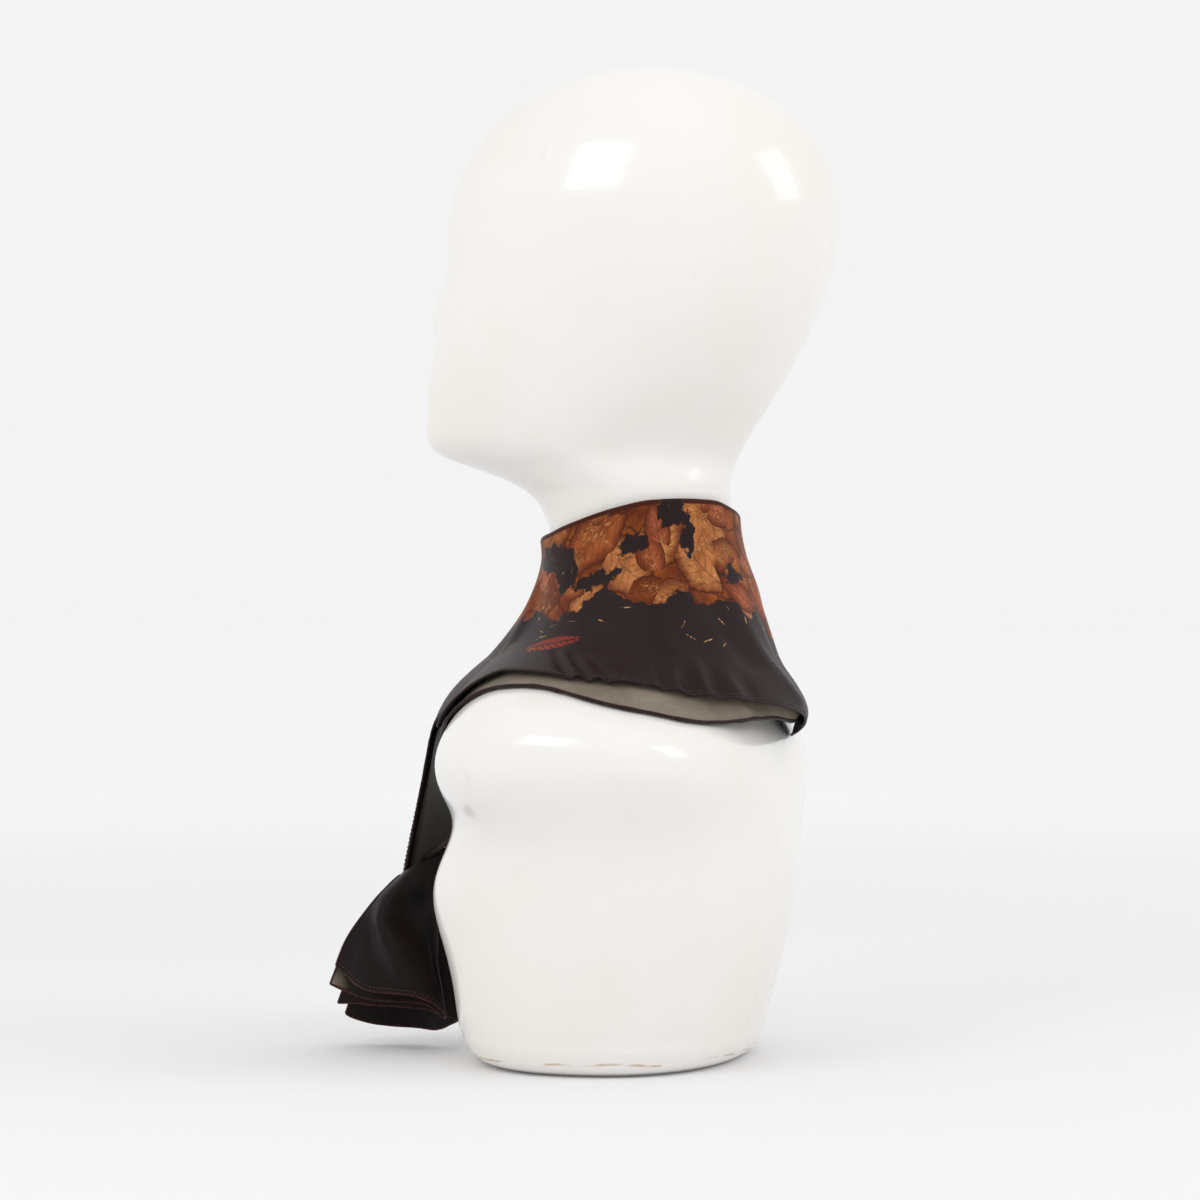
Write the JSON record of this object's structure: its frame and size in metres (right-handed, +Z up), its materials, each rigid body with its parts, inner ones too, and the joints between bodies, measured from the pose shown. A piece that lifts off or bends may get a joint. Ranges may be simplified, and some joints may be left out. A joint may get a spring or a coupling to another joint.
{
  "type": "foulard on display bust",
  "caption": "Silk foulard folded lengthwise and worn round the neck of a smooth limbless display bust, knotted low on the chest with both ends fanning out below.",
  "frame": {"origin": "middle of the bust's flat underside", "axes": "+Z up, -Y the way the face looks, +X the bust's left side"},
  "size_m": [0.328, 0.3082, 0.5795],
  "materials": {
    "bust_shell": "gloss",
    "printed_silk": "satin"
  },
  "bodies": {
    "root": {"display_bust": "bust_shell", "neck_wrap": "printed_silk", "front_stretch_left": "printed_silk", "front_stretch_right": "printed_silk", "knot": "printed_silk", "tail_left": "printed_silk", "tail_right": "printed_silk"}
  },
  "joints": []
}
